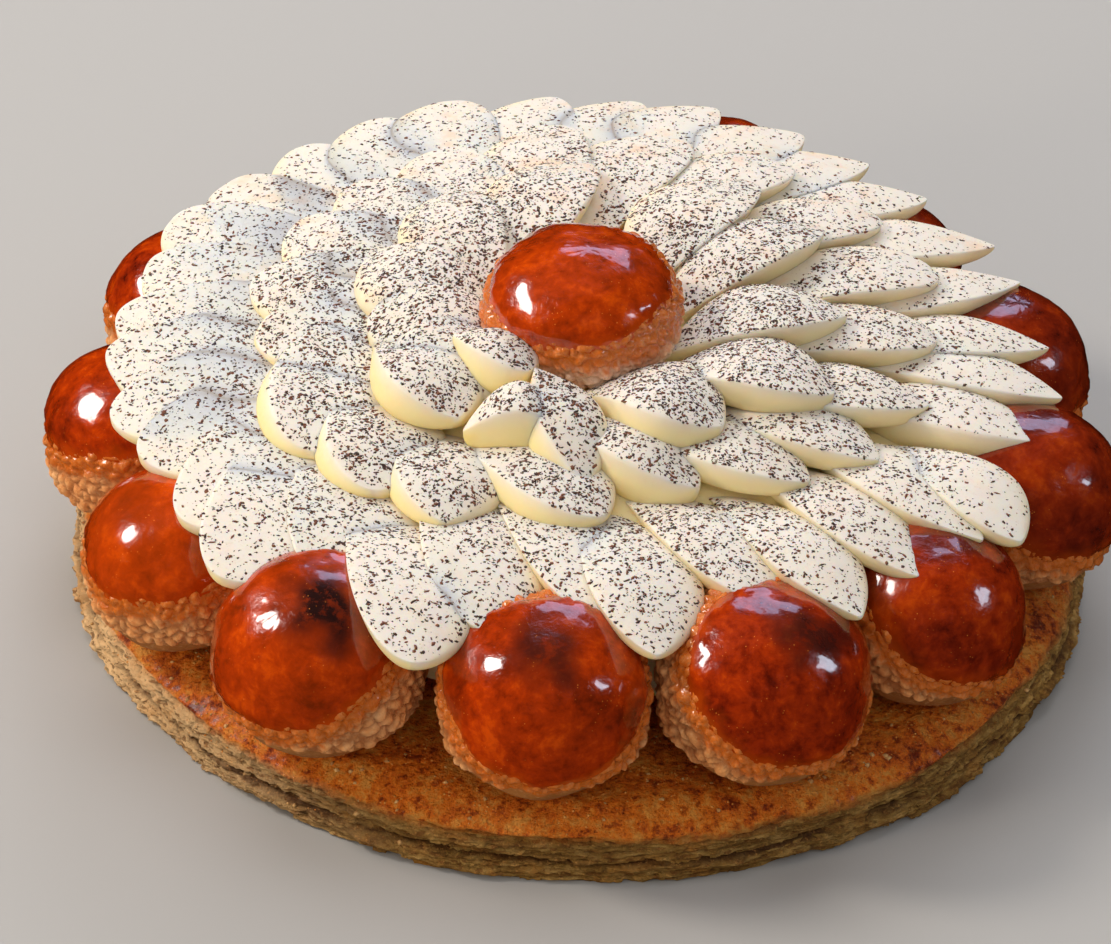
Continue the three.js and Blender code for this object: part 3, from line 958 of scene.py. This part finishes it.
def pastryLeaves(surface):
    draw = random.Random(leaves["seed"])
    matrices = []
    while len(matrices) < leaves["count"]:
        turn = drawTurn(draw)
        leafy = 0.55 + 0.45 * math.cos(turn - math.radians(leaves["leafySide"]))
        if draw.random() > leafy:
            continue
        z = disc["rimHeight"] * (0.04 + 0.94 * draw.random() ** 0.85)
        outward = Vector((math.cos(turn), math.sin(turn), 0))
        point, normal, index, distance = surface.ray_cast(outward * 0.15 + Vector((0, 0, z)), -outward)
        if not point:
            continue
        length = drawSize(draw, leaves["length"], 1.6)
        width = drawSize(draw, leaves["width"])
        lift = math.radians(-14 + 30 * draw.random())
        sway = math.radians(10 * draw.random() - 5)
        matrices.append(Matrix.Translation(point - outward * 0.45 * width)
                        @ Matrix.Rotation(turn - math.pi / 2, 4, "Z")
                        @ Matrix.Rotation(lift, 4, "X") @ Matrix.Rotation(sway, 4, "Y")
                        @ Matrix.Diagonal((length, width, leaves["thickness"], 1)))
    return scattered("pastryLeaves", [leafShape(kind) for kind in range(4)], matrices, pastry, 0)


def strew(name, values, surfaces):
    draw = random.Random(values["seed"])
    matrices = []
    while len(matrices) < values["count"]:
        reach = values["from"] + (values["to"] - values["from"]) * draw.random()
        turn = drawTurn(draw)
        x, y = reach * math.cos(turn), reach * math.sin(turn)
        landed = dropOnto(surfaces, x, y)
        if landed is None or draw.random() > 0.5 + 1.2 * noise.noise(Vector((x, y, 0)) / (9 * mm)):
            continue
        size = drawSize(draw, values["size"], 1.6)
        matrices.append(lieOn(landed[0], landed[1], drawTurn(draw), 1.2 * size, size, 0.8 * size))
    return scattered(name, [flakeShape(5)], matrices, values["finish"])


pastrySurface = topSurface([pastryPiece])
pastryLeaves(pastrySurface[0][0])
for strewnName, strewnValues in strewn.items():
    strew(strewnName, strewnValues, pastrySurface)
print("pastry strewn")


# ---- cocoa flecks dusted from above

dusting = {
    "cocoaDark": {"count": 17000, "finish": darkCocoa, "seed": 3, "size": (0.16, 0.46)},
    "cocoaFine": {"count": 11000, "finish": darkCocoa, "seed": 5, "size": (0.09, 0.26)},
    "cocoaRed": {"count": 8000, "finish": redCocoa, "seed": 4, "size": (0.15, 0.55)},
}
dustFall = {
    "reach": 116 * mm,
    "steepest": 0.68,   # faces steeper than this catch nothing
    "mostWall": 0.4,    # and so does a cut side
    "lowest": 50 * mm,
    "thickness": 0.4,
}


def dust(name, values, surfaces):
    draw = random.Random(values["seed"])
    matrices = []
    while len(matrices) < values["count"]:
        reach = dustFall["reach"] * math.sqrt(draw.random())
        turn = drawTurn(draw)
        x, y = reach * math.cos(turn), reach * math.sin(turn)
        chance = 1.1 - 0.78 * smooth(0.3, 1.0, reach / dustFall["reach"])
        chance *= 1 - 0.35 * smooth(0, 80 * mm, y) - 0.25 * smooth(30 * mm, 100 * mm, x)
        chance *= 0.75 + 0.5 * noise.noise(Vector((x, y, 0)) / (14 * mm))
        if draw.random() > chance:
            continue
        landed = dropOnto(surfaces, x, y)
        if landed is None:
            continue
        point, normal, wall = landed
        if point.z < dustFall["lowest"] or normal.z < dustFall["steepest"] or wall > dustFall["mostWall"]:
            continue
        size = drawSize(draw, values["size"], 1.8)
        stretch = 1 + 1.2 * draw.random() ** 2
        matrices.append(lieOn(point, normal, drawTurn(draw), size * stretch, size / stretch ** 0.5,
                              size * dustFall["thickness"]))
    return scattered(name, [flakeShape(5)], matrices, values["finish"])


creamSurfaces = topSurface(creamPieces)
for dustName, dustValues in dusting.items():
    dust(dustName, dustValues, creamSurfaces)
print("cocoa dusted")


# ---- floor, light and camera

studio = {
    "floorSize": 4.0,
    "floorColour": (0.46, 0.46, 0.46),
    "floorMottle": 0.97,
    "worldColour": (1.0, 0.985, 0.965),
    "worldStrength": 0.34,
}
# each light: turn round the cake and height in degrees, distance and size in metres, watts and colour;
# the soft ones leave no patch on the caramel, and the glints show in it alone
lights = {
    "key": {"turn": 172, "height": 41, "size": (0.36, 0.36), "watts": 10.6, "shape": "DISK",
            "colour": (1.0, 0.89, 0.75), "mirrored": False},
    "window": {"turn": 78, "height": 33, "size": (0.95, 0.45), "watts": 5.7,
               "colour": (1.0, 0.965, 0.94), "mirrored": False},
    "keyGlint": {"turn": 172, "height": 41, "distance": 1.42, "size": (0.56, 0.56), "watts": 19,
                 "shape": "DISK", "colour": (1.0, 0.96, 0.90), "diffuse": False},
    "windowGlint": {"turn": 80, "height": 35, "size": (0.75, 0.42), "watts": 3.4,
                    "colour": (0.60, 0.66, 1.0), "diffuse": False},
    "sideGlint": {"turn": 352, "height": 33, "distance": 1.6, "size": (0.28, 0.34), "watts": 3.4,
                  "colour": (0.74, 0.84, 1.0), "diffuse": False},
    "overhead": {"turn": 105, "height": 66, "size": (1.3, 1.1), "watts": 8.1,
                 "colour": (1.0, 0.97, 0.97), "mirrored": False},
    "front": {"turn": 290, "height": 48, "distance": 1.6, "size": (0.5, 0.5), "watts": 1.7,
              "colour": (0.95, 0.96, 1.0), "mirrored": False},
    "card": {"turn": 205, "height": 14, "distance": 1.3, "size": (0.2, 0.2), "watts": 3.4,
             "colour": (1.0, 0.84, 0.62), "mirrored": False},
    "glow": {"turn": 255, "height": 26, "size": (0.5, 0.3), "watts": 1.5,
             "colour": (1.0, 0.86, 0.68), "mirrored": False},
}
view = {
    "target": Vector((-5.4, 30.6, 0)) * mm,
    "distance": 1.213,
    "elevation": 36.5,
    "roll": 1.23,
    "focalShare": 4.4357,   # focal length as a share of the picture's width
}


def addFloor():
    bm = bmesh.new()
    bmesh.ops.create_grid(bm, x_segments=8, y_segments=8, size=studio["floorSize"] / 2)
    mesh = bpy.data.meshes.new("floor")
    bm.to_mesh(mesh)
    bm.free()
    finish = Finish("floorPaint")
    tone = finish.noise(0.4, 3)
    darker = tuple(studio["floorMottle"] * channel for channel in studio["floorColour"])
    finish.drive(Base_Color=finish.mix(tone, studio["floorColour"], darker), Roughness=0.75 + 0.1 * tone)
    mesh.materials.append(finish.material)
    floor = bpy.data.objects.new("floor", mesh)
    floor.visible_glossy = False
    bpy.context.scene.collection.objects.link(floor)


def addLight(name, values):
    turn = math.radians(values["turn"])
    height = math.radians(values["height"])
    towards = Vector((math.cos(turn) * math.cos(height), math.sin(turn) * math.cos(height), math.sin(height)))
    lamp = bpy.data.lights.new(name, "AREA")
    lamp.shape = values.get("shape", "RECTANGLE")
    lamp.size = values["size"][0]
    if lamp.shape == "RECTANGLE":
        lamp.size_y = values["size"][1]
    lamp.energy = values["watts"]
    lamp.color = values["colour"]
    holder = bpy.data.objects.new(name, lamp)
    holder.location = towards * values.get("distance", 1.5) + Vector((0, 0, 0.05))
    holder.rotation_euler = towards.to_track_quat("Z", "Y").to_euler()
    holder.visible_glossy = values.get("mirrored", True)
    holder.visible_diffuse = values.get("diffuse", True)
    bpy.context.scene.collection.objects.link(holder)


def addCamera():
    camera = bpy.data.cameras.new("camera")
    camera.sensor_width = 36
    camera.lens = view["focalShare"] * camera.sensor_width
    camera.clip_end = 20
    elevation = math.radians(view["elevation"])
    back = Vector((0, -math.cos(elevation), math.sin(elevation)))
    holder = bpy.data.objects.new("camera", camera)
    roll = Matrix.Rotation(math.radians(view["roll"]), 4, "Z")
    holder.matrix_world = (Matrix.Translation(view["target"] + back * view["distance"])
                           @ (Matrix.Rotation(math.pi / 2 - elevation, 4, "X") @ roll))
    bpy.context.scene.collection.objects.link(holder)
    bpy.context.scene.camera = holder


def setWorld():
    world = bpy.data.worlds.new("studio")
    world.use_nodes = True
    background = world.node_tree.nodes["Background"]
    background.inputs["Color"].default_value = (*studio["worldColour"], 1)
    background.inputs["Strength"].default_value = studio["worldStrength"]
    world.cycles_visibility.glossy = False
    bpy.context.scene.world = world
    bpy.context.scene.view_settings.view_transform = "Standard"


addFloor()
for lightName, lightValues in lights.items():
    addLight(lightName, lightValues)
addCamera()
setWorld()
print("studio set")
